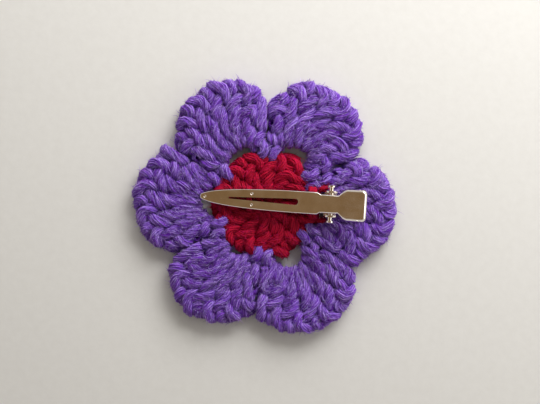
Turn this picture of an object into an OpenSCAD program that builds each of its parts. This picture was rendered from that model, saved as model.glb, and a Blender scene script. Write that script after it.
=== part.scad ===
// Crocheted flower hair clip, lying face down with its metal clip on top.
// Origin: the flower's centre, on the surface that it rests on. +X runs along
// the clip towards its thumb plates, +Z points away from the flower's face.

/* [Flower] */
// Mean distance from the flower's centre to a petal's outer edge
flower_r = 36.8; // [33:0.1:42]
// Thickness of the petals
petal_t = 5.2; // [4.8:0.1:6.5]
// Radius of the red centre round
centre_r = 14.4; // [13.4:0.1:15.2]
// Thickness of the red centre round
centre_t = 5.0; // [4.6:0.1:6]
// Mean radius of the starting ring in the middle of the centre round
ring_r = 2.6; // [2.2:0.1:3.2]

/* [Stitches] */
// Thickness of the yarn where it lies in a stitch
yarn_d = 2.2; // [1.9:0.1:2.4]
// Mean distance that a petal's foundation loop bulges past its two anchor stitches
loop_bulge = 7.6; // [7:0.1:9]
// Thickness of the strands that wrap the foundation loop
loop_wrap_t = 1.2; // [1:0.1:1.4]
// Distance from the flower's centre to the point that a petal's stitches fan round
fan_x = 14.7; // [13.5:0.1:16]
// Distance from that point to the level that the stitches' heights start from
fan_r = 7.5; // [6.5:0.1:8.5]
// Angle between two petal stitches at the petal's edge
top_step = 21; // [19:0.5:23]
// Width of a stitch's top at the petal's edge
top_w = 7.2; // [6.4:0.1:8]
// Gap left between two pieces of yarn that lie against each other
yarn_gap = 0.05; // [0.02:0.01:0.1]

/* [Clip levers] */
// Distance from the flower's centre to the pivot, along the clip
pivot_x = 17.5; // [15:0.1:19]
// Distance of the clip's middle line from the flower's centre
clip_y = 1.1; // [-2:0.1:2]
// Distance from the blade's tip to the pivot
blade_len = 35.3; // [32:0.1:38]
// Width of the upper blade at its widest
blade_w = 6; // [5.6:0.1:6.8]
// Width of the neck, over the folds of the upper lever's ears
neck_w = 5; // [4.6:0.1:5.4]
// Half the length of the neck
neck_half = 2.6; // [2.4:0.1:3]
// Width of the upper thumb plate
thumb_w = 8.6; // [8:0.1:10]
// Distance from the pivot to the end of the thumb plate
thumb_len = 9.8; // [9:0.1:12]
// Angle at which the upper thumb plate is bent up
thumb_bend = 10; // [6:0.5:14]
// Corner radius of the thumb plates
thumb_corner = 1.2; // [0.8:0.1:1.6]
// Thickness of the sheet metal
sheet_t = 0.5; // [0.4:0.05:0.55]
// Gap between the two plates at the pivot
plate_gap = 4.4; // [4.2:0.1:5]
// Depth of the turned-down lips of the blade
blade_lip = 0.5; // [0.3:0.05:0.6]
// Depth of the turned-down lips of the thumb plate
thumb_lip = 0.8; // [0.5:0.05:0.9]
// Distance by which the lower lever's edges lie inside the upper lever's
lower_inset = 0.35; // [0.2:0.05:0.5]
// Gap between an upper ear and the lower ear beside it
ear_gap = 0.5; // [0.3:0.05:0.7]
// Width of metal round the bore in each ear
ear_wall = 1.1; // [0.9:0.1:1.2]

/* [Blade slot and dimples] */
// Distance from the tip to the slot's narrow end
slot_start = 7.6; // [6.5:0.1:9]
// Length of the slot
slot_len = 19.2; // [16:0.1:20]
// Width of the slot at its narrow end
slot_narrow = 0.45; // [0.3:0.05:0.8]
// Width of the slot at its rounded wide end
slot_wide = 1.7; // [1.2:0.1:2]
// Diameter of a dimple
dimple_d = 0.9; // [0.6:0.1:1.1]
// Depth of a dimple
dimple_depth = 0.15; // [0.1:0.05:0.25]
// Distance from the tip to the end dimple
end_dimple = 1.4; // [1.2:0.1:2]
// Distance from the tip to the pair of dimples
pair_dimple = 14.2; // [12:0.1:16]
// Distance of each dimple of the pair from the middle line
pair_side = 1.5; // [1.4:0.1:1.8]

/* [Pivot pin] */
// Diameter of the pin
pin_d = 1.2; // [0.9:0.1:1.4]
// Diameter of the pin's heads
head_d = 2; // [1.7:0.1:2.4]
// Thickness of the pin's heads
head_t = 0.5; // [0.3:0.1:0.7]
// Length of pin that shows between an ear and a head
pin_neck = 0.9; // [0.4:0.1:1.2]
// Running clearance round the pin in the upper lever's ears
pin_clear = 0.05; // [0.02:0.01:0.08]

/* [Torsion spring] */
// Diameter of the spring's wire
wire_d = 0.5; // [0.4:0.05:0.55]
// Gap between the spring's coil and the pin
coil_clear = 0.4; // [0.3:0.05:0.45]
// Whole turns in the coil
coil_turns = 4; // [3:1:4]
// Gap between the coil and the ears at each side of it
coil_side = 0.5; // [0.4:0.05:0.6]
// Distance that the spring's legs reach past the pivot
leg_reach = 5.5; // [5:0.1:6.5]

/* [Fixing yarn] */
// Thickness of the fixing yarn at the middle of the blade
mid_wrap_d = 1.1; // [0.8:0.1:1.2]
// Place of the middle fixing along the clip, from the flower's centre
mid_wrap_x = -4.4; // [-6:0.1:-3.6]
// Thickness of the fixing yarn beside the pivot
pivot_wrap_d = 1.8; // [1.4:0.1:2.2]
// Distance from the pivot back to the fixing yarn beside it
pivot_wrap_back = 4.5; // [4:0.1:5.5]
// Gap between the fixing yarn and the blade that it holds
wrap_gap = 0.1; // [0.05:0.01:0.2]

/* [Hidden] */
$fn = 48;

// The petals of a hand-made flower differ a little in turn, in reach and in how
// far their foundation loops bulge.
petal_count = 6;
petal_step = 360 / petal_count;
petal_turn = [-0.4, 1.1, 1.1, 2.1, -0.9, -2.9];
petal_extra = [-1.0, 0.2, 0.5, -0.4, -0.1, 0.5];
loop_extra = [-0.3, -0.2, -1.5, 0.4, -0.8, 2.1];
// A petal holds one single, one half double, three double, one half double and
// one single crochet. Each height is a share of the middle stitch's height.
stitch_share = [0.42, 0.77, 0.94, 1, 0.94, 0.77, 0.42];
stitch_middle = 3;

// Heights in the flower
bed = 0.15;
mid_z = petal_t / 2 - bed;
head_r = petal_t / 2 + bed;
round_z = centre_t / 2 - bed;
lobe_r = centre_t / 2 + bed;

// The anchor stitches and the foundation loops that run between them
anchor_r = 1.05 * yarn_d;
anchor_edge = 0.4 * yarn_d;
anchor_in = 0.1;
anchor_x = centre_r - anchor_in;
anchor_half = anchor_x * sin(petal_step / 2);
anchor_line = anchor_x * cos(petal_step / 2);
chain_r = 0.45 * yarn_d;
rim_r = chain_r + loop_wrap_t;
web_half = 0.9 * yarn_d;

// The centre round's thin outer edge, which the anchor stitches clasp
edge_half = 0.32 * yarn_d;
edge_in = 0.8;
edge_r = centre_r - edge_in;

// Heights and widths in the clip
lever_z = centre_t + yarn_gap;
half_gap = plate_gap / 2;
pivot_z = lever_z + sheet_t + half_gap;
closed_tilt = 2 * atan(half_gap / blade_len);
ear_r = pin_d / 2 + ear_wall;
upper_ear_y = neck_w / 2 - sheet_t;
lower_ear_y = neck_w / 2 + ear_gap;
shoulder = 0.9;
blade_end = neck_half + shoulder;
lip_rest = 0.1;
pin_half = lower_ear_y + sheet_t + pin_neck;

// The torsion spring: where its legs touch the plates, seen along the pin
coil_r = pin_d / 2 + coil_clear + wire_d / 2;
coil_half = upper_ear_y - coil_side - wire_d / 2;
lower_leg = [leg_reach, wire_d / 2 - half_gap];
rise = thumb_bend + closed_tilt;
bend_x = neck_half * cos(closed_tilt) - half_gap * sin(closed_tilt);
bend_z = neck_half * sin(closed_tilt) + half_gap * cos(closed_tilt);
leg_gap = 0.02;
upper_leg_x = leg_reach - wire_d;
upper_leg_z = bend_z + (upper_leg_x - bend_x) * tan(rise) - wire_d / 2 / cos(rise) - leg_gap;
upper_leg = [upper_leg_x, upper_leg_z];
wire_sides = 8;
steps_per_turn = 22;

function polar(r, a) = [r * cos(a), r * sin(a)];

// The circle of petal i's foundation loop, which goes through its two anchors
function bulge(i) = loop_bulge + loop_extra[i];
function loop_r(i) = (pow(anchor_half, 2) + pow(bulge(i), 2)) / (2 * bulge(i));
function loop_x(i) = anchor_line + bulge(i) - loop_r(i);
function loop_sweep(i) = atan2(anchor_half, anchor_line - loop_x(i));

// ---- Yarn pieces ----

// What lies below the surface that the flower rests on
module below() {
    translate([-2 * flower_r, -2 * flower_r, -petal_t]) cube([4 * flower_r, 4 * flower_r, petal_t]);
}

module arc_tube(ring_radius, tube_radius, start, sweep) {
    rotate([0, 0, start])
        rotate_extrude(angle = sweep) translate([ring_radius, 0]) circle(r = tube_radius);
}

// A single crochet, seen as a round pad that clasps the centre round's edge.
module anchor_pad() {
    flat = anchor_r - anchor_edge;
    rotate_extrude() {
        square([flat, mid_z + anchor_r]);
        translate([0, anchor_edge]) square([anchor_r, mid_z + anchor_r - 2 * anchor_edge]);
        translate([flat, anchor_edge]) circle(r = anchor_edge);
        translate([flat, mid_z + anchor_r - anchor_edge]) circle(r = anchor_edge);
    }
}

module at_anchor(i) {
    rotate([0, 0, petal_step * (i + 0.5)]) translate([anchor_x, 0, 0]) children();
}

module anchor_hole(i, gap) {
    at_anchor(i) translate([0, 0, -1]) cylinder(r = anchor_r + gap, h = petal_t + 2);
}

module anchor(i) {
    color([0.41, 0.27, 0.66])
        difference() {
            at_anchor(i) anchor_pad();
            edge_disc(yarn_gap);
            pivot_wrap_path(pivot_wrap_d / 2 + yarn_gap);
        }
}

// Everything past the two planes where a petal along +X meets its neighbours
module past_sector() {
    for (side = [-1, 1]) {
        rotate([0, 0, side * petal_step / 2])
            translate([0, side > 0 ? 0 : -flower_r, -1]) cube([2 * flower_r, flower_r, petal_t + 2]);
    }
}

// A tube along petal i's foundation loop, for the petal along +X
module loop_tube(i, tube_radius) {
    translate([loop_x(i), 0, mid_z])
        arc_tube(loop_r(i), tube_radius, -loop_sweep(i), 2 * loop_sweep(i));
}

module chain_loop(i) {
    color([0.36, 0.22, 0.6])
        difference() {
            rotate([0, 0, petal_step * i])
                loop_tube(i, chain_r);
            anchor_hole(i, 0);
            anchor_hole(i - 1, 0);
            rotate([0, 0, petal_step * i]) past_sector();
        }
}

// The middle of the top of stitch k, on a petal of the given reach
function stitch_top(k, reach) =
    let (tall = (reach - fan_x - fan_r) * stitch_share[k])
    [fan_x, 0] + polar(fan_r + tall - top_w / 2, (k - stitch_middle) * top_step);

// A petal along +X: its web, the heads of its stitches and the rim of its loop
module petal(i) {
    reach = flower_r + petal_extra[i];
    last = len(stitch_share) - 1;
    tops = [for (k = [0 : last]) stitch_top(k, reach)];
    color([0.41, 0.27, 0.66])
        difference() {
            union() {
                rotate([0, 0, petal_turn[i]]) {
                    translate([0, 0, mid_z - web_half])
                        linear_extrude(2 * web_half) {
                            polygon(concat([[loop_x(i), 0]], tops));
                            for (p = tops) {
                                translate(p) circle(d = top_w);
                            }
                        }
                    for (k = [1 : last - 1]) {
                        translate([tops[k].x, tops[k].y, mid_z]) sphere(r = head_r);
                    }
                }
                loop_tube(i, rim_r);
            }
            translate([loop_x(i), 0, -1]) cylinder(r = loop_r(i) - rim_r * 0.6, h = petal_t + 2);
            translate([loop_x(i), 0, mid_z]) arc_tube(loop_r(i), chain_r + yarn_gap, 0, 360);
            translate([0, 0, -1]) cylinder(r = centre_r + yarn_gap, h = petal_t + 2);
            anchor_hole(0, yarn_gap);
            anchor_hole(-1, yarn_gap);
            below();
            past_sector();
        }
}

module petal_in_place(i) {
    rotate([0, 0, petal_step * i]) petal(i);
}

module centre_ring() {
    color([0.5, 0.03, 0.1])
        difference() {
            translate([0, 0, round_z]) arc_tube(ring_r, yarn_d / 2, 0, 360);
            mid_wrap_path(mid_wrap_d / 2 + yarn_gap);
        }
}

// The thin outer edge of the centre round, which the anchor stitches clasp
module edge_disc(gap) {
    translate([0, 0, round_z - edge_half - gap]) cylinder(r = edge_r + gap, h = 2 * (edge_half + gap));
}

module centre_round() {
    web_r = centre_r - lobe_r * 0.6;
    color([0.68, 0.06, 0.14])
        difference() {
            union() {
                difference() {
                    union() {
                        translate([0, 0, round_z - web_half]) cylinder(r = web_r, h = 2 * web_half);
                        for (k = [0 : petal_count - 1]) {
                            rotate([0, 0, k * petal_step]) translate([centre_r - top_w / 2, 0, round_z]) {
                                cylinder(d = top_w, h = 2 * web_half, center = true);
                                sphere(r = lobe_r);
                            }
                        }
                    }
                    for (i = [0 : petal_count - 1]) {
                        anchor_hole(i, yarn_gap);
                    }
                }
                edge_disc(0);
            }
            translate([0, 0, -1]) cylinder(r = ring_r, h = centre_t + 2);
            translate([0, 0, round_z]) arc_tube(ring_r, yarn_d / 2 + yarn_gap, 0, 360);
            mid_wrap_path(mid_wrap_d / 2 + yarn_gap);
            pivot_wrap_path(pivot_wrap_d / 2 + yarn_gap);
            below();
        }
}

// ---- Fixing yarn: closed loops round the lower blade, through the flower ----

module upright_loop(x, half_width, bottom, top, tube_radius, bend) {
    reach = half_width - bend;
    low = bottom + bend;
    high = top - bend;
    translate([x, clip_y, 0]) {
        for (side = [-1, 1]) {
            translate([0, side * half_width, low]) cylinder(r = tube_radius, h = high - low);
        }
        for (z = [bottom, top]) {
            translate([0, -reach, z]) rotate([-90, 0, 0]) cylinder(r = tube_radius, h = 2 * reach);
        }
        for (turn = [0, 90, 180, 270]) {
            y = (turn == 0 || turn == 270) ? reach : -reach;
            z = (turn < 180) ? high : low;
            translate([0, y, z]) rotate([90, 0, 90]) arc_tube(bend, tube_radius, turn, 90);
        }
    }
}

module mid_wrap_path(tube_radius) {
    beside = blade_half(mid_wrap_x - pivot_x + blade_len, lower_inset);
    upright_loop(mid_wrap_x, beside + wrap_gap + mid_wrap_d / 2, mid_wrap_d,
        lever_z + sheet_t + yarn_gap + mid_wrap_d / 2, tube_radius, mid_wrap_d / 2 + wrap_gap);
}

module pivot_wrap_path(tube_radius) {
    beside = blade_half(blade_len - pivot_wrap_back, lower_inset);
    upright_loop(pivot_x - pivot_wrap_back, beside + wrap_gap + pivot_wrap_d / 2, pivot_wrap_d * 0.75,
        lever_z + sheet_t + yarn_gap + pivot_wrap_d / 2, tube_radius, pivot_wrap_d / 2 + wrap_gap);
}

module fixing_wrap_mid() {
    color([0.68, 0.06, 0.14]) mid_wrap_path(mid_wrap_d / 2);
}

module fixing_wrap_pivot() {
    color([0.68, 0.06, 0.14]) pivot_wrap_path(pivot_wrap_d / 2);
}

// ---- Clip: outlines are drawn with the pivot at the origin ----

// Half the blade's width at a distance from its tip; inset draws it smaller.
function blade_half(d, inset) =
    let (t = min(1, max(0, d - inset) / (blade_len - blade_end - inset)))
    (blade_w / 2 - inset) * pow(1 - pow(1 - t, 2.5), 0.42);

function arc_points(c, r, from, to, n) = [for (i = [0 : n]) c + polar(r, from + (to - from) * i / n)];

function mirrored(points) =
    concat(points, [for (i = [len(points) - 1 : -1 : 0]) [points[i].x, -points[i].y]]);

module blade_outline(inset, neck) {
    steps = 20;
    length = blade_len - blade_end - inset;
    edge = [
        for (i = [0 : steps])
            let (d = inset + length * pow(i / steps, 2)) [d - blade_len, blade_half(d, inset)]
    ];
    polygon(mirrored(concat(edge, [[-neck_half, neck - inset], [neck_half, neck - inset]])));
}

module thumb_outline(inset) {
    half = thumb_w / 2 - inset;
    end = thumb_len - inset;
    start = neck_half + inset;
    r = thumb_corner;
    polygon(mirrored(concat(
        arc_points([start + r, half - r], r, 180, 90, 6),
        arc_points([end - r, half - r], r, 90, 0, 6)
    )));
}

module slot_outline() {
    narrow_r = slot_narrow / 2;
    wide_r = slot_wide / 2;
    near = slot_start + narrow_r - blade_len;
    wide = slot_start + slot_len - wide_r - blade_len;
    polygon(concat(
        arc_points([near, 0], narrow_r, 270, 90, 6),
        arc_points([wide, 0], wide_r, 90, -90, 12)
    ));
}

module ears(y, z_from, z_to, bore_r) {
    for (side = [-1, 1]) {
        translate([0, side * (y + sheet_t / 2), 0])
            rotate([90, 0, 0])
                difference() {
                    translate([0, 0, -sheet_t / 2])
                        linear_extrude(sheet_t) {
                            circle(r = ear_r);
                            translate([-ear_r, min(z_from, z_to)]) square([2 * ear_r, abs(z_to - z_from)]);
                        }
                    cylinder(r = bore_r, h = 2 * sheet_t, center = true);
                }
    }
}

module at_pivot() {
    translate([pivot_x, clip_y, pivot_z]) children();
}

module lower_lever() {
    color([0.72, 0.68, 0.6])
        at_pivot() {
            translate([0, 0, -half_gap - sheet_t])
                linear_extrude(sheet_t)
                    difference() {
                        union() {
                            blade_outline(lower_inset, neck_w / 2);
                            thumb_outline(lower_inset);
                            square([2 * ear_r, 2 * (lower_ear_y + sheet_t)], center = true);
                            translate([0, lower_inset - neck_w / 2])
                                square([neck_half + lower_inset + thumb_corner, neck_w - 2 * lower_inset]);
                        }
                        slot_outline();
                    }
            ears(lower_ear_y, 0, -half_gap - sheet_t, pin_d / 2);
        }
}

module upper_blade() {
    translate([0, 0, half_gap])
        difference() {
            linear_extrude(sheet_t)
                difference() {
                    blade_outline(0, neck_w / 2);
                    slot_outline();
                }
            for (p = [[end_dimple, 0], [pair_dimple, pair_side], [pair_dimple, -pair_side]]) {
                dimple_r = (pow(dimple_d / 2, 2) + pow(dimple_depth, 2)) / (2 * dimple_depth);
                translate([p.x - blade_len, p.y, sheet_t + dimple_r - dimple_depth]) sphere(r = dimple_r);
            }
        }
}

module blade_lips() {
    translate([0, 0, half_gap - blade_lip])
        linear_extrude(blade_lip + sheet_t / 2)
            difference() {
                blade_outline(0, neck_w / 2);
                blade_outline(sheet_t, neck_w / 2);
                translate([-blade_end, -blade_w]) square([2 * blade_end, 2 * blade_w]);
            }
}

module upper_thumb() {
    translate([neck_half, 0, half_gap])
        rotate([0, -thumb_bend, 0])
            translate([-neck_half, 0, 0]) {
                linear_extrude(sheet_t) {
                    thumb_outline(0);
                    translate([neck_half - sheet_t, -neck_w / 2]) square([thumb_corner + sheet_t, neck_w]);
                }
                translate([0, 0, -thumb_lip])
                    linear_extrude(thumb_lip + sheet_t / 2)
                        difference() {
                            thumb_outline(0);
                            thumb_outline(sheet_t);
                            translate([0, -thumb_w])
                                square([neck_half + thumb_corner + sheet_t, 2 * thumb_w]);
                        }
            }
}

module upper_lever() {
    low = blade_len + thumb_len;
    color([0.76, 0.72, 0.64])
        at_pivot() {
            rotate([0, -closed_tilt, 0]) {
                upper_blade();
                upper_thumb();
                ears(upper_ear_y, 0, half_gap + sheet_t / 2, pin_d / 2 + pin_clear);
            }
            difference() {
                rotate([0, -closed_tilt, 0]) blade_lips();
                translate([-low, -low, -half_gap + lip_rest - low]) cube([2 * low, 2 * low, low]);
            }
        }
}

module pivot_pin() {
    color([0.8, 0.78, 0.74])
        at_pivot()
            rotate([90, 0, 0]) {
                cylinder(d = pin_d, h = 2 * pin_half, center = true);
                for (side = [-1, 1]) {
                    translate([0, 0, side * (pin_half + head_t / 2)])
                        cylinder(d = head_d, h = head_t, center = true);
                }
            }
}

// ---- Torsion spring ----

// The angle at which a straight leg that ends at p leaves the coil
function touch_angle(p, side) = atan2(p.y, p.x) + side * acos(coil_r / norm(p));

function coil_point(a, y) = [coil_r * cos(a), y, coil_r * sin(a)];

function unit(v) = v / norm(v);

function wire_ring(p, ahead) =
    let (
        side = unit(cross(ahead, [0.1, 1, 0.05])),
        up = unit(cross(side, ahead))
    )
    [
        for (s = [0 : wire_sides - 1])
            let (a = 360 * s / wire_sides) p + wire_d / 2 * (side * cos(a) + up * sin(a))
    ];

module torsion_spring() {
    first = touch_angle(lower_leg, -1);
    last = touch_angle(upper_leg, 1) - 360 * (coil_turns + 1);
    n = ceil((first - last) / 360 * steps_per_turn);
    path = concat(
        [[lower_leg.x, -coil_half, lower_leg.y]],
        [for (i = [0 : n]) coil_point(first + (last - first) * i / n, coil_half * (2 * i / n - 1))],
        [[upper_leg.x, coil_half, upper_leg.y]]
    );
    count = len(path);
    rings = [
        for (i = [0 : count - 1])
            wire_ring(path[i], unit(path[min(i + 1, count - 1)] - path[max(i - 1, 0)]))
    ];
    points = [for (r = rings) for (p = r) p];
    sides = [
        for (i = [0 : count - 2])
            for (s = [0 : wire_sides - 1])
                let (t = (s + 1) % wire_sides)
                [i * wire_sides + s, i * wire_sides + t, (i + 1) * wire_sides + t, (i + 1) * wire_sides + s]
    ];
    start = [for (s = [wire_sides - 1 : -1 : 0]) s];
    end = [for (s = [0 : wire_sides - 1]) (count - 1) * wire_sides + s];
    color([0.6, 0.6, 0.58]) at_pivot() polyhedron(points = points, faces = concat(sides, [start, end]));
}

centre_ring();
centre_round();
for (i = [0 : petal_count - 1]) {
    anchor(i);
    chain_loop(i);
    petal_in_place(i);
}
fixing_wrap_mid();
fixing_wrap_pivot();
lower_lever();
upper_lever();
pivot_pin();
torsion_spring();
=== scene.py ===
import math
import bmesh
import bpy
import numpy as np
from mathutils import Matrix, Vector


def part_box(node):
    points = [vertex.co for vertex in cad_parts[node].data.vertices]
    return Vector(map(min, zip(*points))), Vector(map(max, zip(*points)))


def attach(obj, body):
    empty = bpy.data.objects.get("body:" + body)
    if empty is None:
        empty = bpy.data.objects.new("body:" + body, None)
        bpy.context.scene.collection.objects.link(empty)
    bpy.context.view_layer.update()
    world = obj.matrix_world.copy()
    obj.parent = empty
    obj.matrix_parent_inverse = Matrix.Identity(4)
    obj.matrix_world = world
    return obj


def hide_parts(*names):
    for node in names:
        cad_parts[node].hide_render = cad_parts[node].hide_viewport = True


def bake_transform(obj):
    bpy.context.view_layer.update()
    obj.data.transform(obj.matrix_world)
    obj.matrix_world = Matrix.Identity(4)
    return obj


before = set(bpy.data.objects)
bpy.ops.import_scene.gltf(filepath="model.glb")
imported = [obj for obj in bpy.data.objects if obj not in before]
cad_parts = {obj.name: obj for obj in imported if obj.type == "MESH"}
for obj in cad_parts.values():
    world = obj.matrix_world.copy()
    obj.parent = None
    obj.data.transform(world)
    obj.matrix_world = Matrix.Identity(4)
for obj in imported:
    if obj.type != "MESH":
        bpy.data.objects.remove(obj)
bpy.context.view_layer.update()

FLOWER = "flower_and_lower_lever"
JAW = "upper_jaw"


# Starting ring: the first turn of red acrylic yarn, which the centre round is
# crocheted into. The yarn is laid along a smooth line and spun from thin plies.
# It is thin where it is pulled tight and swells where it lies loose.
ring_r = 2.6
round_z = 1000 * sum(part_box("centre_ring")[i][2] for i in (0, 1)) / 2


class Shade:
    """A socket of a finish, so that its shader maths reads as plain arithmetic."""

    def __init__(self, finish, socket):
        self.finish = finish
        self.socket = socket

    def math(self, operation, first, second):
        return self.finish.node("ShaderNodeMath", {"operation": operation}, {0: first, 1: second})

    def __add__(self, other):
        return self.math("ADD", self, other)

    def __sub__(self, other):
        return self.math("SUBTRACT", self, other)

    def __rsub__(self, other):
        return self.math("SUBTRACT", other, self)

    def __mul__(self, other):
        return self.math("MULTIPLY", self, other)

    __radd__ = __add__
    __rmul__ = __mul__


class Finish:
    """A material or the sky. node() adds a node: its type, its settings, then what its sockets hold."""

    def __init__(self, name, kind=bpy.data.materials, surface="Principled BSDF"):
        self.material = kind.new(name)
        self.material.use_nodes = True
        self.tree = self.material.node_tree
        self.surface = self.tree.nodes[surface]

    def node(self, kind, settings, sockets, out=0):
        made = self.tree.nodes.new(kind)
        for key, value in settings.items():
            if key == "stops":
                ramp = made.color_ramp
                ramp.elements.remove(ramp.elements[1])
                ramp.elements[0].position = value[0][0]
                ramp.elements[0].color = value[0][1]
                for position, color in value[1:]:
                    ramp.elements.new(position).color = color
            else:
                setattr(made, key, value)
        for key, value in sockets.items():
            self.join(made.inputs[key], value)
        return Shade(self, made.outputs[out])

    def join(self, target, value):
        if isinstance(value, Shade):
            self.tree.links.new(value.socket, target)
        else:
            target.default_value = value

    def set(self, **sockets):
        for key, value in sockets.items():
            self.join(self.surface.inputs[key.replace("_", " ")], value)


def yarn_finish(name, groove_shade, body, crown, sheen):
    """Dyed acrylic plies: fine fibres along each ply, with painted glints on them, painted shade where two
    plies meet and a painted highlight on each ply's crown.
    """
    dye = Finish(name)
    height = dye.node("ShaderNodeAttribute", {"attribute_name": "crown"}, {}, "Fac")
    along = dye.node("ShaderNodeAttribute", {"attribute_name": "fibre"}, {}, "Vector")
    stretched = dye.node("ShaderNodeVectorMath", {"operation": "MULTIPLY"}, {0: along, 1: (1.5, 1.5, 0.16)})
    fibres = dye.node(
        "ShaderNodeTexNoise", {}, {"Vector": stretched, "Scale": 2.0, "Detail": 5.0, "Roughness": 0.65})
    patches = dye.node("ShaderNodeTexNoise", {}, {"Vector": along, "Scale": 0.22, "Detail": 2.0})
    # tone is painted shade low in the grooves, painted highlight high on the crowns and painted glints along
    # the fibres, with random faded patches; the fibres also give the yarn its bumps
    tone = height * 0.46 + fibres * 1.55 + patches * 0.45 - 0.83
    color = dye.node(
        "ShaderNodeValToRGB", {"stops": [(0.0, groove_shade), (0.46, body), (0.88, crown)]}, {0: tone})
    relief = dye.node("ShaderNodeBump", {}, {"Height": fibres, "Strength": 0.7, "Distance": 0.00035})
    dye.set(Base_Color=color, Roughness=0.65, Normal=relief, Specular_IOR_Level=0.15)
    dye.set(Sheen_Weight=sheen, Sheen_Roughness=0.5, Sheen_Tint=crown)
    dye.set(Subsurface_Weight=0.35, Subsurface_Radius=(1, 0.5, 1), Subsurface_Scale=0.0006)
    return dye.material


# of the red yarn's colours, the first is painted shade for the grooves between plies and the last a painted
# highlight for the crowns
red_yarn = yarn_finish(
    "red yarn", (0.12, 0.001, 0.014, 1), (0.35, 0.002, 0.024, 1), (0.68, 0.006, 0.048, 1), 0.3)


def smooth_line(points, step):
    """A smooth curve through the points, cut into equal steps. A fourth column holds the yarn's radius."""
    p = np.asarray(points, float)
    p = np.vstack([2 * p[0] - p[1], p, 2 * p[-1] - p[-2]])
    a, b, c, d = p[:-3], p[1:-2], p[2:-1], p[3:]
    curve = []
    for t in np.arange(8) / 8:
        bend = (c - a) * t + (2 * a - 5 * b + 4 * c - d) * t ** 2
        bend += (3 * b - a - 3 * c + d) * t ** 3
        curve.append(b + 0.5 * bend)
    line = np.stack(curve, axis=1).reshape(-1, p.shape[1])
    line = np.vstack([line, p[-2]])
    run = np.concatenate([[0], np.cumsum(np.linalg.norm(np.diff(line[:, :3], axis=0), axis=1))])
    even = np.linspace(0, run[-1], max(3, int(round(run[-1] / step)) + 1))
    return np.stack([np.interp(even, run, column) for column in line.T], axis=1)


def unit_rows(v):
    return v / (np.linalg.norm(v, axis=-1, keepdims=True) + 1e-12)


lever_box = [1000 * np.array(corner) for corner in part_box("lower_lever")]


def under_lever(p, roof):
    """The highest that yarn may lie: the roof, or the underside of the clip's lower lever."""
    held, rise, gap = 0.6, 2.5, 0.1
    low, high = lever_box
    beside = np.maximum(low[:2] - p[:, :2], p[:, :2] - high[:2]).max(axis=1)
    lift = np.clip((beside - held) / rise, 0, 1)
    return low[2] - gap + lift * (roof - low[2] + gap)


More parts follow.
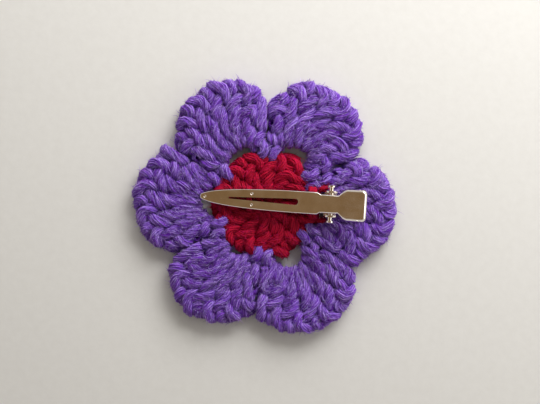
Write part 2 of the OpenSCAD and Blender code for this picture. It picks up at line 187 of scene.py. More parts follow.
def spin_yarn(name, line, finish, seed, pitch=13, plies=13, sides=4, step=0.74, fuzz=38):
    """Twist plies round the line, which is in millimetres, as one mesh in metres.

    pitch is the length of a full twist, and fuzz the number of loose fibres on a millimetre.
    """
    chance = np.random.default_rng(seed)
    line = smooth_line(line, step)
    size = line[:, 3]
    line = line[:, :3]
    count = len(line)
    run = np.arange(count) * step
    ahead = unit_rows(np.gradient(line, axis=0))
    side = np.zeros_like(ahead)
    upright = np.array([0, 0, 1.0]) if abs(ahead[0][2]) < 0.9 else np.array([1.0, 0, 0])
    side[0] = unit_rows(upright - ahead[0] * upright.dot(ahead[0]))
    for i in range(1, count):
        side[i] = unit_rows(side[i - 1] - ahead[i] * side[i - 1].dot(ahead[i]))
    across = np.cross(ahead, side)
    knots = np.arange(0, run[-1] + 8, 5.0)
    drift = np.interp(run, knots, chance.normal(0, 1, len(knots)))
    # the plies thin out over the last 0.8 mm at both ends
    tuck = np.clip(np.minimum(run, run[-1] - run) / 0.8, 0.25, 1)
    turn = np.arange(sides) * 2 * math.pi / sides
    verts, faces, crown, fibre = [], [], [], []
    for k in range(plies):
        angle = 2 * math.pi * (run / pitch + k / plies) + 0.5 * drift + seed
        out = side * np.cos(angle)[:, None] + across * np.sin(angle)[:, None]
        wander = np.interp(run, knots, chance.normal(0, 1, len(knots)))
        # how far the ply's middle lies from the yarn's, and then the ply's own radius
        reach = size * (0.68 + 0.11 * np.clip(wander, -1.5, 1.5) + 0.05 * np.sin(1.3 * run + 2.1 * k))
        ply = line + out * reach[:, None]
        ply_ahead = unit_rows(np.gradient(ply, axis=0))
        up = unit_rows(out - ply_ahead * (out * ply_ahead).sum(1)[:, None])
        level = np.cross(ply_ahead, up)
        thick = size * (0.26 + 0.03 * np.sin(1.7 * run + 1.3 * k + drift)) * tuck
        rim = up[:, None, :] * np.cos(turn)[None, :, None] + level[:, None, :] * np.sin(turn)[None, :, None]
        verts.append((ply[:, None, :] + thick[:, None, None] * rim).reshape(-1, 3))
        # this value is highest on a ply's outer side, where the yarn's colour gets its painted highlight,
        # and lowest where plies meet, where it gets painted shade
        crown.append(np.tile(0.5 + 0.5 * np.cos(turn), count))
        fibre.append(np.stack([np.tile(np.cos(turn), count), np.tile(np.sin(turn), count),
                               np.repeat(run + 31.0 * k + 7.0 * seed, sides)], axis=1))
        base = k * count * sides
        ring = base + np.arange(count - 1)[:, None] * sides
        here = np.arange(sides)[None, :]
        there = (here + 1) % sides
        quads = np.stack([ring + here, ring + there, ring + sides + there, ring + sides + here], axis=2)
        faces += quads.reshape(-1, 4).tolist()
        faces.append(list(range(base + sides - 1, base - 1, -1)))
        faces.append(list(range(base + (count - 1) * sides, base + count * sides)))
    # loose fibres lie along the yarn and lift off it towards their ends: long bent ones, and short stubs.
    # Each kind has its share of them, its lengths, how far it lifts off, and the stations along a fibre
    fibre_r = 0.07
    corner = np.arange(3) * 2 * math.pi / 3
    used = plies * count * sides
    kinds = ((0.28, 1.0, 3.6, 0.42, (0, 0.5, 1)), (0.72, 0.3, 1.2, 0.26, (0, 1)))
    for share, shortest, longest, rise, stations in kinds:
        hairs = int(share * fuzz * run[-1])
        rings = len(stations) - 1
        reach = chance.uniform(shortest, longest, hairs)
        start = chance.uniform(0, np.maximum(run[-1] - reach, 0.1))
        lift = np.minimum(chance.exponential(rise, hairs), 1.3)
        angle = chance.uniform(0, 2 * math.pi, hairs)
        swing = chance.normal(0, 0.4, hairs)
        stray = chance.normal(0, 0.5, (hairs, 3)) * lift[:, None]
        spine = []
        for t in stations:
            at = start + t * reach
            turned = angle + swing * t + 2 * math.pi * at / pitch
            centre, along, beside = (
                np.stack([np.interp(at, run, column) for column in v.T], axis=1)
                for v in (line, side, across)
            )
            out = along * np.cos(turned)[:, None] + beside * np.sin(turned)[:, None]
            far = np.interp(at, run, size) * 0.9 + lift * t ** 1.5
            spine.append(centre + out * far[:, None] + stray * t ** 2)
        spine = np.stack(spine, axis=1)
        heading = unit_rows(np.gradient(spine, axis=1))
        edge = unit_rows(np.cross(heading, np.array([0.3, 0.2, 1.0])))
        other = np.cross(heading, edge)
        rim = edge[:, :, None, :] * np.cos(corner)[:, None] + other[:, :, None, :] * np.sin(corner)[:, None]
        hair = (spine[:, :, None, :] + fibre_r * rim)[:, :-1].reshape(hairs, 3 * rings, 3)
        hair = np.concatenate([hair, spine[:, -1:]], axis=1).reshape(-1, 3)
        hair[:, 2] = np.minimum(hair[:, 2], under_lever(hair, 7.0))
        verts.append(hair)
        each = 3 * rings + 1
        # each loose fibre gets a random share of the yarn's painted highlight, some brighter than a ply's
        # crown
        crown.append(np.repeat(chance.uniform(0.3, 1.3, hairs), each))
        fibre.append(np.repeat(np.stack([angle, swing, start + 7.0 * seed], axis=1), each, axis=0))
        root = used + each * np.arange(hairs)[:, None, None]
        ring = root + 3 * np.arange(rings - 1)[None, :, None]
        here = np.arange(3)[None, None, :]
        there = (here + 1) % 3
        skin = np.stack([ring + here, ring + there, ring + 3 + there, ring + 3 + here], axis=3)
        faces += skin.reshape(-1, 4).tolist()
        last = (root + 3 * rings - 3)[:, 0]
        point = np.repeat(last + 3, 3, axis=1)
        faces += np.stack([last + here[0], last + there[0], point], axis=2).reshape(-1, 3).tolist()
        faces += (root[:, 0] + np.array([2, 1, 0])).tolist()
        used += each * hairs
    verts = np.vstack(verts)
    verts[:, 2] = np.maximum(verts[:, 2], 0.02)
    mesh = bpy.data.meshes.new(name)
    mesh.from_pydata((verts / 1000).tolist(), [], faces)
    mesh.attributes.new("crown", "FLOAT", "POINT").data.foreach_set("value", np.concatenate(crown))
    direction = mesh.attributes.new("fibre", "FLOAT_VECTOR", "POINT")
    direction.data.foreach_set("vector", np.vstack(fibre).ravel())
    mesh.polygons.foreach_set("use_smooth", [True] * len(mesh.polygons))
    mesh.materials.append(finish)
    yarn = bpy.data.objects.new(name, mesh)
    bpy.context.collection.objects.link(yarn)
    return yarn


def place_yarn(yarn, node):
    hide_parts(node)
    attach(yarn, FLOWER)


ring_yarn_r = 0.95
turns = np.linspace(0, 2 * math.pi * 1.04, 40)
ring_line = np.stack([
    ring_r * np.cos(turns), ring_r * np.sin(turns),
    np.full_like(turns, round_z), np.full_like(turns, ring_yarn_r),
], axis=1)
place_yarn(spin_yarn("starting_ring_yarn", ring_line, red_yarn, seed=1), "centre_ring")


# Centre round: twelve double crochets worked into the starting ring with one
# unbroken red yarn. A stitch is a path of points in its own cell, across it, up
# it and in millimetres towards the flower's face. Then the yarn settles.
round_r = 1000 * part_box("centre_round")[1][0]
round_stitches = 12

# the top loop of every stitch lies over towards the next one, slanting like a rope's strand
CHAIN_TOP = [
    (0.38, 0.88, -1.8), (0.60, 0.98, -1.6), (0.80, 1.03, -0.7), (0.90, 1.01, 0.4), (0.74, 0.96, 1.3),
    (0.42, 0.96, 1.5), (0.16, 1.01, 0.8), (0.02, 1.02, -0.4), (-0.06, 0.92, -1.3), (-0.04, 0.80, -1.3),
    (0.08, 0.72, -0.6), (0.26, 0.74, 0.0),
]

DOUBLE = [
    # the yarn comes from the last stitch's top, across the back and once round the post
    (-0.60, 0.86, -1.4), (-0.38, 0.76, -1.7), (-0.12, 0.66, -1.7), (0.16, 0.58, -1.4), (0.30, 0.53, 0),
    (0.12, 0.50, 1.6), (-0.22, 0.48, 1.6), (-0.36, 0.43, 0), (-0.27, 0.34, -1.4),
    # down the back, under the foundation and up the face as a loop
    (-0.24, 0.18, -1.4), (-0.24, 0.02, -1.3), (-0.24, -0.06, -0.9), (-0.24, -0.09, 0), (-0.26, -0.06, 0.9),
    (-0.32, 0.08, 1.4), (-0.36, 0.30, 1.5), (-0.30, 0.52, 1.4), (-0.10, 0.64, 1.0), (0.06, 0.52, 1.3),
    (0.08, 0.30, 1.5), (0.20, 0.05, 1.4), (0.24, -0.06, 0.9), (0.24, -0.09, 0), (0.24, -0.06, -0.9),
    (0.24, 0.03, -1.3), (0.26, 0.20, -1.4), (0.27, 0.38, -1.5), (0.16, 0.50, -0.9),
    # the second loop, drawn through the first
    (-0.02, 0.58, 0.3), (-0.18, 0.70, 1.1), (-0.12, 0.82, 1.3), (0.06, 0.86, 1.3), (0.20, 0.76, 1.2),
    (0.24, 0.64, 0.4), (0.30, 0.60, -0.7), (0.30, 0.68, -1.3), (0.20, 0.78, -1.2),
    *CHAIN_TOP,
]


def lie_flat(p, roof):
    """Keep yarn between the surface that the flower lies on and what lies on the flower."""
    top = under_lever(p, roof)
    p[:, 2] = np.clip(p[:, 2], p[:, 3], np.maximum(top - p[:, 3], p[:, 3]))
    return p


def settle(line, others, limit, rounds=60):
    """Let a yarn keep its length, round its bends and push off itself and the others, which stay put."""
    p = line.copy()
    count = len(p)
    rest = np.linalg.norm(np.diff(p[:, :3], axis=0), axis=1)
    crowd_size = np.concatenate([p[:, 3], others[:, 3]]) if len(others) else p[:, 3]
    # yarns that touch press into each other, down to this share of their radii
    pressed = 0.76
    spread = pressed * (p[:, 3][:, None] + crowd_size[None, :])
    order = np.arange(count)
    spread[:, :count][np.abs(order[:, None] - order[None, :]) <= 4] = 0
    rounds = rounds
    for _ in range(rounds):
        crowd = np.vstack([p[:, :3], others[:, :3]]) if len(others) else p[:, :3]
        apart = p[:, None, :3] - crowd[None, :, :]
        far = np.sqrt((apart ** 2).sum(2)) + 1e-9
        push = np.clip(spread - far, 0, None)
        shift = 0.26 * (apart * (push / far)[:, :, None]).sum(1) + 0.012 * (line - p)[:, :3]
        shift[1:-1] += 0.2 * (0.5 * (p[:-2, :3] + p[2:, :3]) - p[1:-1, :3])
        p[:, :3] += np.clip(shift, -0.5, 0.5)
        for _ in range(4):
            gap = np.diff(p[:, :3], axis=0)
            length = np.linalg.norm(gap, axis=1) + 1e-9
            pull = gap * ((length - rest) / length)[:, None] * 0.45
            p[:-1, :3] += pull
            p[1:, :3] -= pull
        p = limit(p)
    for _ in range(2):
        p[1:-1, :3] = 0.25 * p[:-2, :3] + 0.5 * p[1:-1, :3] + 0.25 * p[2:, :3]
    return p


def swelling(v, tight, loose):
    """The yarn's radius at height v of a stitch."""
    return tight + (loose - tight) * min(max((v - 0.05) / 0.45, 0), 1)


def centre_point(k, u, v, w):
    """A point of stitch k of the round, whose edge has six lobes."""
    step = 2 * math.pi / round_stitches
    angle = (k + u) * step + 0.06 * math.sin(2.3 * k)
    top = round_r - 1.1 - 0.45 * (1 - math.cos(6 * (k + u) * step))
    reach = ring_r + (v * 14 if v < 0 else v * (top - ring_r))
    return (reach * math.cos(angle), reach * math.sin(angle), round_z - w, swelling(v, 0.85, 1.35))


chance = np.random.default_rng(11)
points = []
for k in range(round_stitches):
    lean, rise = chance.normal(0, 0.05), chance.normal(0, 0.02)
    points += [centre_point(k, u + lean * (v > 0.1), v + rise * (v > 0.3), w) for u, v, w in DOUBLE]
round_line = settle(smooth_line(points, 0.8), ring_line, lambda p: lie_flat(p, 5.4))
centre_yarn = spin_yarn("centre_round_yarn", round_line, red_yarn, seed=2, plies=10, step=0.8, fuzz=26)
place_yarn(centre_yarn, "centre_round")


# Anchor stitches: six purple single crochets that clasp the edge of the centre
# round, halfway between its lobes. The foundation loops start and end in them.
anchor_x = round_r - 0.1
anchor_yarn_r = 1.25
mid_z = 2.45
petal_step = math.radians(60)
# of the purple yarn's colours, the first is painted shade for the grooves between plies and the last a
# painted highlight for the crowns
purple_yarn = yarn_finish(
    "purple yarn", (0.125, 0.008, 0.33, 1), (0.110, 0.009, 0.37, 1), (0.56, 0.38, 0.95, 1), 0.3)

SINGLE = [
    (-0.60, 0.86, -1.2), (-0.40, 0.66, -1.5), (-0.28, 0.42, -1.5), (-0.24, 0.18, -1.4), (-0.24, 0.02, -1.3),
    (-0.24, -0.06, -0.9), (-0.24, -0.09, 0), (-0.24, -0.06, 0.9), (-0.24, 0.10, 1.4), (-0.20, 0.48, 1.4),
    (0, 0.74, 0.9), (0.18, 0.48, 1.4), (0.24, 0.10, 1.4), (0.24, -0.06, 0.9), (0.24, -0.09, 0),
    (0.24, -0.06, -0.9), (0.24, 0.05, -1.4), (0.24, 0.40, -1.5), (0.14, 0.70, -1.0),
    *CHAIN_TOP,
]


def turned(p, angle):
    c, s = math.cos(angle), math.sin(angle)
    p = np.array(p, float)
    p[:, 0], p[:, 1] = c * p[:, 0] - s * p[:, 1], s * p[:, 0] + c * p[:, 1]
    return p


def anchor_point(u, v, w):
    out = anchor_x - 1.5 + (3.2 * v if v > 0 else 10 * v)
    return (out, 4.2 * min(u, 0.35), mid_z - 1.25 * w, anchor_yarn_r)


anchor_lines = []
for i in range(6):
    line = turned([anchor_point(u, v, w) for u, v, w in SINGLE], petal_step * (i + 0.5))
    near = round_line[np.linalg.norm(round_line[:, :2] - line[:, :2].mean(0), axis=1) < 5]
    line = settle(smooth_line(line, 0.6), near, lambda p: lie_flat(p, 6.2), 40)
    anchor_lines.append(line)
    anchor = spin_yarn(f"anchor_stitch_{i + 1}", line, purple_yarn, seed=20 + i)
    place_yarn(anchor, f"anchor_{i + 1}")


# Foundation loops: the purple chain that runs from one anchor stitch to the
# next. The petal's stitches wrap it all round, so it only shows in gaps.
loop_yarn_r = 0.7
loop_bulge = [7.3, 7.4, 6.1, 8.0, 6.8, 9.7]
anchor_half = anchor_x * math.sin(petal_step / 2)
anchor_line = anchor_x * math.cos(petal_step / 2)
loop_r = [(anchor_half ** 2 + bulge ** 2) / (2 * bulge) for bulge in loop_bulge]
loop_x = [anchor_line + bulge - r for bulge, r in zip(loop_bulge, loop_r)]
loop_sweep = [math.atan2(anchor_half, anchor_line - x) for x in loop_x]

loop_lines = []
for i in range(6):
    a = np.linspace(-loop_sweep[i], loop_sweep[i], 44)
    arc = np.stack([
        loop_x[i] + loop_r[i] * np.cos(a), loop_r[i] * np.sin(a),
        np.full_like(a, mid_z), np.full_like(a, loop_yarn_r),
    ], axis=1)
    line = turned(arc, petal_step * i)
    loop_lines.append(line)
    chain = spin_yarn(f"foundation_loop_{i + 1}", line, purple_yarn, seed=40 + i, pitch=5)
    place_yarn(chain, f"chain_loop_{i + 1}")


# Petals: seven purple stitches over each foundation loop, worked as a fan that is
# tall in the middle and short at its ends. Handwork makes the petals differ a
# little in turn and in reach.
flower_r = 36.8
# of each petal: its turn in degrees, its reach past flower_r, and how wide its fan spreads
petal_turn = [-2.8, 0.2, 2.6, 1.8, 1.2, -5.6]
petal_extra = [-0.8, 0.4, 0.7, 0.0, 0.2, 1.4]
petal_spread = [1.04, 0.95, 0.97, 1.05, 0.91, 1.03]
# the direction in degrees of the line where each petal meets the next
petal_edge = [31, 93, 153, 213, 269, 327]
# how far the stitches reach in past the foundation loop, for each unit below the cell
foot_reach = [22, 21, 19, 33, 43, 38]
# how tall a petal's first and last stitches are, and the five between, as a share of its full height
first_share = [0.84, 0.32, 0.20, 0.68, 0.16, 0.76]
last_share = [0.38, 0.26, 0.46, 0.28, 0.50, 0.26]
stitch_share = [0.77, 0.94, 1, 0.94, 0.77]
# the point that the fan opens from, the radius that its heights start at, and the turn to the next stitch
fan_x = 14.7
fan_r = 7.5
top_step = math.radians(21)
# the part of a foundation loop that each anchor takes up
anchor_share = math.radians(14)

HALF_DOUBLE = [
    (-0.60, 0.86, -1.4), (-0.38, 0.74, -1.7), (-0.12, 0.62, -1.7), (0.16, 0.54, -1.4), (0.30, 0.49, 0),
    (0.12, 0.46, 1.6), (-0.22, 0.44, 1.6), (-0.36, 0.40, 0), (-0.27, 0.32, -1.4), (-0.24, 0.18, -1.4),
    (-0.24, 0.02, -1.3), (-0.24, -0.06, -0.9), (-0.24, -0.09, 0), (-0.26, -0.06, 0.9), (-0.30, 0.10, 1.4),
    (-0.28, 0.45, 1.4), (-0.06, 0.72, 1.0), (0.14, 0.45, 1.4), (0.22, 0.10, 1.4), (0.24, -0.06, 0.9),
    (0.24, -0.09, 0), (0.24, -0.06, -0.9), (0.24, 0.03, -1.3), (0.27, 0.30, -1.5), (0.26, 0.58, -1.4),
    (0.14, 0.76, -1.0), *CHAIN_TOP,
]
# the first stitch's yarn comes up from the anchor stitch, the others' from the last one's top
FIRST = [(-0.40, -0.02, -1.0), (-0.42, 0.25, -1.5), *DOUBLE[2:]]
PETAL_STITCHES = [FIRST, DOUBLE, DOUBLE, DOUBLE, DOUBLE, DOUBLE, HALF_DOUBLE]


def petal_point(i, k, u, v, w):
    """A point of stitch k: between its foot on the foundation loop and its top on the fan."""
    reach = flower_r + petal_extra[i]
    shares = [first_share[i] - 0.17, first_share[i], *stitch_share, last_share[i], last_share[i] - 0.17]
    tall = (reach - fan_x - fan_r) * np.interp(k + u, range(-1, 8), shares) - 2.0
    foot_angle = (k - 3 + u) * 2 * (loop_sweep[i] - anchor_share) / 7
    top_angle = (k - 3 + u) * top_step * petal_spread[i] + math.radians(petal_turn[i])
    foot = np.array([loop_x[i] + loop_r[i] * math.cos(foot_angle), loop_r[i] * math.sin(foot_angle)])
    top = np.array([fan_x + (fan_r + tall) * math.cos(top_angle), (fan_r + tall) * math.sin(top_angle)])
    share = v if v > 0 else foot_reach[i] * v / np.linalg.norm(top - foot)
    x, y = foot + (top - foot) * share
    return (x, y, mid_z - w, swelling(v, 0.95, 1.48))


def petal_limit(i):
    """What keeps petal i flat and between the lines where it meets its neighbours."""
    walls = []
    for side, edge in ((-1, petal_edge[i - 1]), (1, petal_edge[i])):
        edge = math.radians(edge)
        walls.append(side * np.array([-math.sin(edge), math.cos(edge)]))

    def limit(p):
        p = lie_flat(p, 5.8)
        for wall in walls:
            over = np.clip(p[:, :2] @ wall + p[:, 3] - 0.1, 0, None)
            p[:, :2] -= over[:, None] * wall
        return p
    return limit


for i in range(6):
    chance = np.random.default_rng(60 + i)
    points = []
    for k, stitch in enumerate(PETAL_STITCHES):
        lean, rise = chance.normal(0, 0.05), chance.normal(0, 0.02)
        points += [petal_point(i, k, u + lean * (v > 0.1), v + rise * (v > 0.3), w) for u, v, w in stitch]
    line = turned(smooth_line(points, 0.8), petal_step * i)
    others = np.vstack([loop_lines[i], anchor_lines[i], anchor_lines[i - 1]])
    line = settle(line, others, petal_limit(i))
    petal = spin_yarn(f"petal_yarn_{i + 1}", line, purple_yarn, seed=60 + i)
    place_yarn(petal, f"petal_{i + 1}")


# Lower lever: nickel-plated spring steel, pressed to a long slotted blade, a thumb
# plate, and two ears that stand up beside the pivot pin. It is drawn flat in
# millimetres about the pivot, folded, given its thickness and put in place.
pin_box = [1000 * np.array(corner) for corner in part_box("pivot_pin")]
pivot = (pin_box[0] + pin_box[1]) / 2
blade_len = 35.3
lever_len = 45.1
neck_half = 2.6
sheet_t = 0.5
half_gap = 2.2
ear_r = 1.7

nickel = Finish("nickel plate")
on_sheet = nickel.node("ShaderNodeTexCoord", {}, {}, "Object")
drawn = nickel.node("ShaderNodeMapping", {}, {"Vector": on_sheet, "Scale": (60, 1500, 600)})
scratches = nickel.node(
    "ShaderNodeTexNoise", {}, {"Vector": drawn, "Scale": 1.0, "Detail": 4.0, "Roughness": 0.6})
haze = nickel.node("ShaderNodeTexNoise", {}, {"Vector": on_sheet, "Scale": 260.0, "Detail": 3.0})
plating = nickel.node(
    "ShaderNodeValToRGB", {"stops": [(0.3, (0.72, 0.66, 0.58, 1)), (0.7, (0.82, 0.78, 0.72, 1))]}, {0: haze})
uneven = haze * 0.7 + scratches * 0.3
ripple = nickel.node("ShaderNodeBump", {}, {"Height": uneven, "Strength": 0.12, "Distance": 0.0002})
nickel.set(Base_Color=plating, Metallic=1.0, Roughness=haze * 0.16 + scratches * 0.12 + 0.06, Normal=ripple)


def add(primitive, **settings):
    """Add a primitive with nothing else selected, and open it for editing."""
    bpy.ops.object.select_all(action="DESELECT")
    primitive(**settings)
    bpy.ops.object.mode_set(mode="EDIT")
    return bpy.context.object


def pick(kind, test):
    """Select the corners, edges or faces of the open piece whose middle passes the test."""
    bpy.ops.mesh.select_mode(type=kind)
    bpy.ops.mesh.select_all(action="DESELECT")
    mesh = bmesh.from_edit_mesh(bpy.context.object.data)
    for part in {"VERT": mesh.verts, "EDGE": mesh.edges, "FACE": mesh.faces}[kind]:
        middle = part.co if kind == "VERT" else sum((v.co for v in part.verts), Vector()) / len(part.verts)
        if test(part, middle):
            part.select_set(True)
    bmesh.update_edit_mesh(bpy.context.object.data)


def move(x, y, z):
    bpy.ops.transform.translate(value=(x, y, z))


def draw_out(x, y, z):
    bpy.ops.mesh.extrude_region_move(TRANSFORM_OT_translate={"value": (x, y, z)})


def is_fold(edge, middle):
    return len(edge.link_faces) == 2 and edge.calc_face_angle() > 1.0


def blade_half(d, inset):
    """Half the blade's width at a distance from its tip."""
    t = min(1, max(0, d / (blade_len - 3.5)))
    return max((3 - inset) * (1 - (1 - t) ** 2.5) ** 0.42, 0.6 - inset / 2)


def flat_blank(name, inset, end):
    """The lever's flat outline and slot, drawn as columns across it.

    A column has its distance from the tip, half the width there, and half the slot's width.
    """
    columns = [(d, blade_half(d, inset), 0.1) for d in (inset, 1.2, 2.6, 4.2, 6.0)]
    columns += [(7.6, blade_half(7.6, inset), 0.02), (7.8, blade_half(7.8, inset), 0.225)]
    columns += [(d, blade_half(d, inset), 0.225 + 0.625 * (d - 7.8) / 18.2) for d in np.linspace(10, 26, 9)]
    columns += [(d, blade_half(d, inset), w) for d, w in ((26.35, 0.74), (26.65, 0.48), (26.8, 0.02))]
    columns += [(d, 3 - inset, 0.5) for d in (28.6, 30.2, 31.8)]
    columns += [(d, 2.5 - inset, 0.5) for d in (32.7, 33.6, 35.3, 37.0, 37.5)]
    columns += [(39.0, 3.95 - inset, 0.8), (39.9, 4.3 - inset, 0.9), (42.0, 4.3 - inset, 0.9)]
    columns += [(43.85, 4.3 - inset, 0.9), (end, 4.3 - inset, 0.9)]
    piece = add(bpy.ops.mesh.primitive_grid_add, x_subdivisions=len(columns) - 1, y_subdivisions=4, size=2,
                location=(1000, 0, 0))
    bpy.ops.object.mode_set(mode="OBJECT")
    bpy.ops.object.transform_apply(location=True)
    bpy.ops.object.mode_set(mode="EDIT")
    piece.name = name
    for i, (d, half, slot) in enumerate(columns):
        old = 999 + 2 * i / (len(columns) - 1)
        pick("VERT", lambda v, p: abs(p.x - old) < 0.001 and abs(p.y) < 0.9)
        bpy.ops.transform.resize(value=(1, 2 * slot, 1), center_override=(old, 0, 0))
        pick("VERT", lambda v, p: abs(p.x - old) < 0.001 and abs(p.y) > 0.98)
        bpy.ops.transform.resize(value=(1, half, 1), center_override=(old, 0, 0))
        pick("VERT", lambda v, p: abs(p.x - old) < 0.001)
        move(d - blade_len - old, 0, 0)
    pick("FACE", lambda f, p: -27.6 < p.x < -8.5 and abs(p.y) < 0.45)
    bpy.ops.mesh.delete(type="FACE")
    for x, half, round_by in ((inset - blade_len, 0.3, 0.4), (end - blade_len, 3.5, 1.2)):
        pick("VERT", lambda v, p: abs(p.x - x) < 0.001 and abs(p.y) > half)
        bpy.ops.mesh.bevel(offset=round_by, segments=5, affect="VERTICES")
    return piece


def round_ears(depth):
    """Round the corners of both ears' ends, at this depth below the sheet."""
    pick("VERT", lambda v, p: p.z < -depth + 0.001 and abs(p.x) > 1.6)
    bpy.ops.mesh.bevel(offset=1.6, segments=7, affect="VERTICES")


def finish_sheet(piece, fold):
    """Round the folds, give the sheet its thickness and take the sharpness off its cut edges."""
    bpy.ops.object.mode_set(mode="OBJECT")
    for kind, settings in (
        ("BEVEL", {"limit_method": "WEIGHT", "width": fold, "segments": 5, "use_clamp_overlap": False}),
        ("SOLIDIFY", {"thickness": sheet_t - 0.05, "offset": -1}),
        ("BEVEL", {"limit_method": "ANGLE", "angle_limit": 0.9, "width": 0.07, "segments": 2}),
    ):
        modifier = piece.modifiers.new("", kind)
        for key, value in settings.items():
            setattr(modifier, key, value)
        bpy.ops.object.modifier_apply(modifier=modifier.name)


def place_part(piece, turn, finish):
    """Bring a part drawn in millimetres about the pivot to its place, in metres."""
    if bpy.context.mode != "OBJECT":
        bpy.ops.object.mode_set(mode="OBJECT")
    piece.location = pivot / 1000
    piece.rotation_euler = turn
    piece.scale = (0.001, 0.001, 0.001)
    bpy.ops.object.transform_apply(location=True, rotation=True, scale=True)
    bpy.ops.object.shade_smooth_by_angle(angle=math.radians(32))
    piece.data.materials.clear()
    piece.data.materials.append(finish.material)


lower_inset = 0.35
lower = flat_blank("lower_lever_sheet", lower_inset, lever_len - lower_inset)
for side in (-1, 1):
    pick("EDGE", lambda e, p: e.is_boundary and abs(p.x) < 1.7 and side * p.y > 1.5)
    draw_out(0, side * (3.5 - 2.15), 0)
    draw_out(0, 0, -half_gap - sheet_t - ear_r)
round_ears(half_gap + sheet_t + ear_r)
pick("EDGE", is_fold)
bpy.ops.transform.edge_bevelweight(value=1)
finish_sheet(lower, 0.55)
bpy.ops.object.mode_set(mode="EDIT")
bpy.ops.mesh.select_all(action="SELECT")
move(0, 0, half_gap + sheet_t)
place_part(lower, (math.pi, 0, 0), nickel)
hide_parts("lower_lever")
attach(lower, FLOWER)


# Upper lever: the same strip with its edges turned down all round for stiffness,
# its thumb plate bent up, and three small dimples punched in the blade. Its ears
# hang between the lower lever's ears, and it turns with the pin as its hinge.
closed_tilt = math.radians(7.13)
thumb_bend = math.radians(10)
upper = flat_blank("upper_lever_sheet", 0, lever_len)
# the turned-down edge is deeper at the thumb plate, and short at the neck, where the ears go on
pick("EDGE", lambda e, p: e.is_boundary and not (-27.8 < p.x < -8.4 and abs(p.y) < 1))
draw_out(0, 0, -1.0)
pick("VERT", lambda v, p: p.z < -0.5 and p.x > 2.5)
move(0, 0, -0.3)
pick("VERT", lambda v, p: p.z < -0.5 and abs(p.x) < 2.5)
move(0, 0, 0.4)
pick("EDGE", lambda e, p: e.is_boundary and abs(p.x) < 1.7 and abs(p.y) > 2 and p.z < -0.5)
draw_out(0, 0, 0.6 - half_gap - sheet_t - ear_r)
round_ears(half_gap + sheet_t + ear_r)
# the thumb plate's edge is rounder than the blade's
pick("EDGE", lambda e, p: is_fold(e, p) and p.x > neck_half)
bpy.ops.transform.edge_bevelweight(value=1)
pick("EDGE", lambda e, p: is_fold(e, p) and p.x < neck_half)
bpy.ops.transform.edge_bevelweight(value=0.3)
pick("VERT", lambda v, p: p.x > neck_half)
bpy.ops.transform.rotate(value=thumb_bend, orient_axis="Y", center_override=(neck_half, 0, -sheet_t))
finish_sheet(upper, 1.0)
for x, y in ((1.4, 0), (14.2, 1.5), (14.2, -1.5)):
    punch = add(bpy.ops.mesh.primitive_uv_sphere_add, segments=20, ring_count=14, radius=0.7,
                location=(x - blade_len, y, 0.6))
    bpy.ops.object.mode_set(mode="OBJECT")
    dent = upper.modifiers.new("dent", "BOOLEAN")
    dent.operation = "DIFFERENCE"
    dent.object = punch
    bpy.context.view_layer.objects.active = upper
    bpy.ops.object.modifier_apply(modifier=dent.name)
    bpy.data.objects.remove(punch)
upper.select_set(True)
bpy.ops.object.mode_set(mode="EDIT")
bpy.ops.mesh.select_all(action="SELECT")
move(0, 0, half_gap + sheet_t)
place_part(upper, (0, -closed_tilt, 0), nickel)
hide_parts("upper_lever")
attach(upper, JAW)


# Pivot pin: a plain steel pin through all four ears, its ends riveted over to
# low domed heads so that it can't slip out.
pin = add(bpy.ops.mesh.primitive_cylinder_add, vertices=32, radius=0.6, depth=9.0,
          rotation=(math.pi / 2, 0, 0))
bpy.ops.object.mode_set(mode="OBJECT")
bpy.ops.object.transform_apply(rotation=True)
bpy.ops.object.mode_set(mode="EDIT")
pin.name = "pivot_pin_riveted"
# each head is drawn out in rings, by a step along the pin and a scale across it
for side in (-1, 1):
    pick("FACE", lambda f, p: side * p.y > 4.4)
    for step, scale in ((0, 1.6), (0.08, 1.08), (0.42, 1.0), (0.14, 0.86), (0.08, 0.7)):
        draw_out(0, side * step, 0)
        bpy.ops.transform.resize(value=(scale, 1, scale))
place_part(pin, (0, 0, 0), nickel)
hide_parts("pivot_pin")
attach(pin, FLOWER)


# Torsion spring: round spring wire coiled about the pin, with a straight leg on each lever's thumb side.
coil_r, coil_half, wire_r = 1.25, 1.25, 0.25
coil_turns = 5
# where each leg ends, along the clip and up from the pivot
lower_leg = (5.5, wire_r - half_gap)
upper_leg = (5.0, 3.05)
wire_steel = Finish("spring wire")
on_wire = wire_steel.node("ShaderNodeTexCoord", {}, {}, "Object")
dull = wire_steel.node("ShaderNodeTexNoise", {}, {"Vector": on_wire, "Scale": 900.0, "Detail": 3.0})
dark_wire, light_wire = (0.34, 0.32, 0.29, 1), (0.55, 0.53, 0.49, 1)
oxide = wire_steel.node(
    "ShaderNodeValToRGB", {"stops": [(0.35, dark_wire), (0.65, light_wire)]}, {0: dull})
wire_steel.set(Base_Color=oxide, Metallic=1.0, Roughness=dull * 0.3 + 0.18)


def touch_angle(leg, side):
    """Where a straight leg that ends at the point leaves the coil."""
    return math.atan2(leg[1], leg[0]) + side * math.acos(coil_r / math.hypot(*leg))


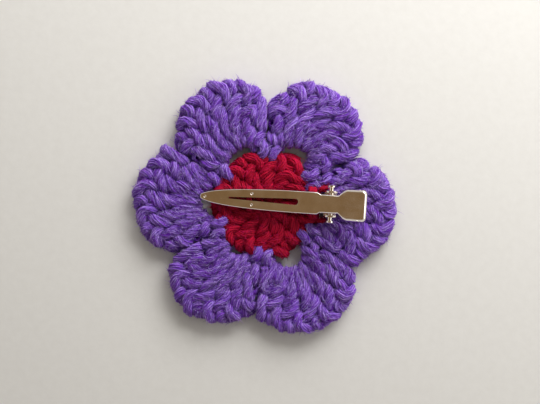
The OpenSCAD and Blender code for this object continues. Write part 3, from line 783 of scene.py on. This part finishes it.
first = touch_angle(lower_leg, -1)
last = touch_angle(upper_leg, 1) - coil_turns * 2 * math.pi
spring = add(bpy.ops.mesh.primitive_circle_add, vertices=12, radius=wire_r,
             location=(coil_r, -coil_half, 0))
bpy.ops.object.mode_set(mode="OBJECT")
spring.name = "torsion_spring_wire"
bpy.ops.object.transform_apply(location=True)
spring.rotation_euler = (0, -first, 0)
bpy.ops.object.transform_apply(rotation=True)
winding = spring.modifiers.new("winding", "SCREW")
winding.axis = "Y"
winding.angle = first - last
winding.screw_offset = 2 * coil_half
winding.steps = winding.render_steps = int(28 * (first - last) / (2 * math.pi))
bpy.ops.object.modifier_apply(modifier=winding.name)
bpy.ops.object.mode_set(mode="EDIT")
for leg, angle, y in ((lower_leg, first, -coil_half), (upper_leg, last, coil_half)):
    wire_end = Vector((coil_r * math.cos(angle), y, coil_r * math.sin(angle)))
    pick("EDGE", lambda e, p: e.is_boundary and (p - wire_end).length < wire_r * 1.1)
    draw_out(leg[0] - wire_end.x, 0, leg[1] - wire_end.z)
    bpy.ops.mesh.edge_face_add()
bpy.ops.mesh.select_all(action="SELECT")
bpy.ops.mesh.normals_make_consistent(inside=False)
place_part(spring, (0, 0, 0), wire_steel)
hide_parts("torsion_spring")
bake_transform(spring)


# Fixing yarn: the red yarn is taken twice round the lower lever at the middle of
# the blade and twice beside the pivot, through the stitches, and tied off. One
# end stays as a short tuft beside the pivot.
def wrap_line(node, thick, turns, spread, start, tail):
    """Turns round the lower lever inside the node's box, with the yarn's own start and tail."""
    low, high = [1000 * np.array(corner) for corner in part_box(node)]
    middle, reach = (low + high) / 2, (high - low) / 2 - thick
    a = np.linspace(0, 2 * math.pi * turns, 24 * turns)
    round_corner = [np.sign(f) * np.abs(f) ** 0.5 for f in (np.cos(a), np.sin(a))]
    loops = np.stack([middle[0] + spread * (a / a[-1] - 0.5), middle[1] + reach[1] * round_corner[0],
                      middle[2] + reach[2] * round_corner[1], np.full(len(a), thick)], axis=1)
    return np.vstack([np.array(start).reshape(-1, 4), loops, np.array(tail).reshape(-1, 4)])


mid_line = wrap_line("fixing_wrap_mid", 0.52, 2, 1.0, [], [])
mid_wrap = spin_yarn("fixing_yarn_mid", mid_line, red_yarn, seed=81, pitch=6)
place_yarn(mid_wrap, "fixing_wrap_mid")
tuft = [(13.9, 4.9, 4.0, 0.8), (15.2, 5.3, 4.4, 0.9), (16.6, 5.6, 4.3, 0.7), (17.6, 6.1, 3.9, 0.35)]
hidden_end = [
    (17.6, -4.4, 2.0, 0.6), (16.6, -3.6, 2.6, 1.1), (14.9, -3.9, 3.0, 1.1),
    (13.6, -2.0, 2.6, 0.9), (13.2, 2.0, 2.4, 0.8),
]
pivot_line = wrap_line("fixing_wrap_pivot", 0.8, 2, 1.5, hidden_end, tuft)
pivot_wrap = spin_yarn("fixing_yarn_pivot", pivot_line, red_yarn, seed=82, pitch=7)
place_yarn(pivot_wrap, "fixing_wrap_pivot")


# Stage: a sheet of pale paper, three soft square lamps, the far one kept out of
# reflections, and a camera straight above the flower.
bpy.ops.mesh.primitive_plane_add(size=0.84, location=(0, 0, 0))
paper = bpy.context.object
paper.name = "paper"
sheet = Finish("paper")
on_paper = sheet.node("ShaderNodeTexCoord", {}, {}, "Object")
pulp = sheet.node(
    "ShaderNodeTexNoise", {}, {"Vector": on_paper, "Scale": 420.0, "Detail": 6.0, "Roughness": 0.6})
dark_paper, light_paper = (0.635, 0.618, 0.588, 1), (0.66, 0.645, 0.615, 1)
tone = sheet.node(
    "ShaderNodeValToRGB", {"stops": [(0.3, dark_paper), (0.7, light_paper)]}, {0: pulp})
grain = sheet.node("ShaderNodeBump", {}, {"Height": pulp, "Strength": 0.12, "Distance": 0.0003})
sheet.set(Base_Color=tone, Roughness=0.9, Normal=grain)
paper.data.materials.append(sheet.material)

# what is seen of the room, also in the metal, is pale walls and a brown ceiling, but its light is grey
sky = Finish("sky", bpy.data.worlds, "Background")
heading = sky.node("ShaderNodeTexCoord", {}, {}, "Generated")
height = sky.node("ShaderNodeSeparateXYZ", {}, {"Vector": heading}, "Z")
walls, ceiling, plain = (0.72, 0.70, 0.68, 1), (0.23, 0.14, 0.065, 1), (0.35, 0.33, 0.30, 1)
shown = sky.node("ShaderNodeValToRGB", {"stops": [(0.62, walls), (0.80, ceiling)]}, {0: height})
rays = ("Camera", "Glossy", "Transmission")
seen = sum(sky.node("ShaderNodeLightPath", {}, {}, f"Is {ray} Ray") for ray in rays)
room = sky.node("ShaderNodeMix", {"data_type": "RGBA"}, {"Factor": seen, "A": plain, "B": shown}, "Result")
sky.set(Color=room, Strength=1.0)
bpy.context.scene.world = sky.material


def soft_lamp(name, place, size, power, mirrored):
    lamp = bpy.data.lights.new(name, "AREA")
    lamp.size = size
    lamp.energy = power
    holder = bpy.data.objects.new(name, lamp)
    holder.location = place
    holder.rotation_euler = (-Vector(place)).to_track_quat("-Z", "Y").to_euler()
    holder.visible_glossy = mirrored
    bpy.context.collection.objects.link(holder)


soft_lamp("key", (0.155, 0.28, 0.205), 0.22, 1.52, True)
soft_lamp("right", (0.40, 0.02, 0.17), 0.22, 0.35, True)
soft_lamp("far", (-0.02, 0.30, 0.17), 0.22, 0.50, False)

eye = bpy.data.cameras.new("camera")
eye.sensor_width = 36
eye.lens = 70.5
camera = bpy.data.objects.new("camera", eye)
camera.location = (0.00119, 0.00063, 0.2925)
camera.rotation_euler = (0, 0, math.radians(3.7))
bpy.context.collection.objects.link(camera)
bpy.context.scene.camera = camera
bpy.context.scene.view_settings.view_transform = "Standard"
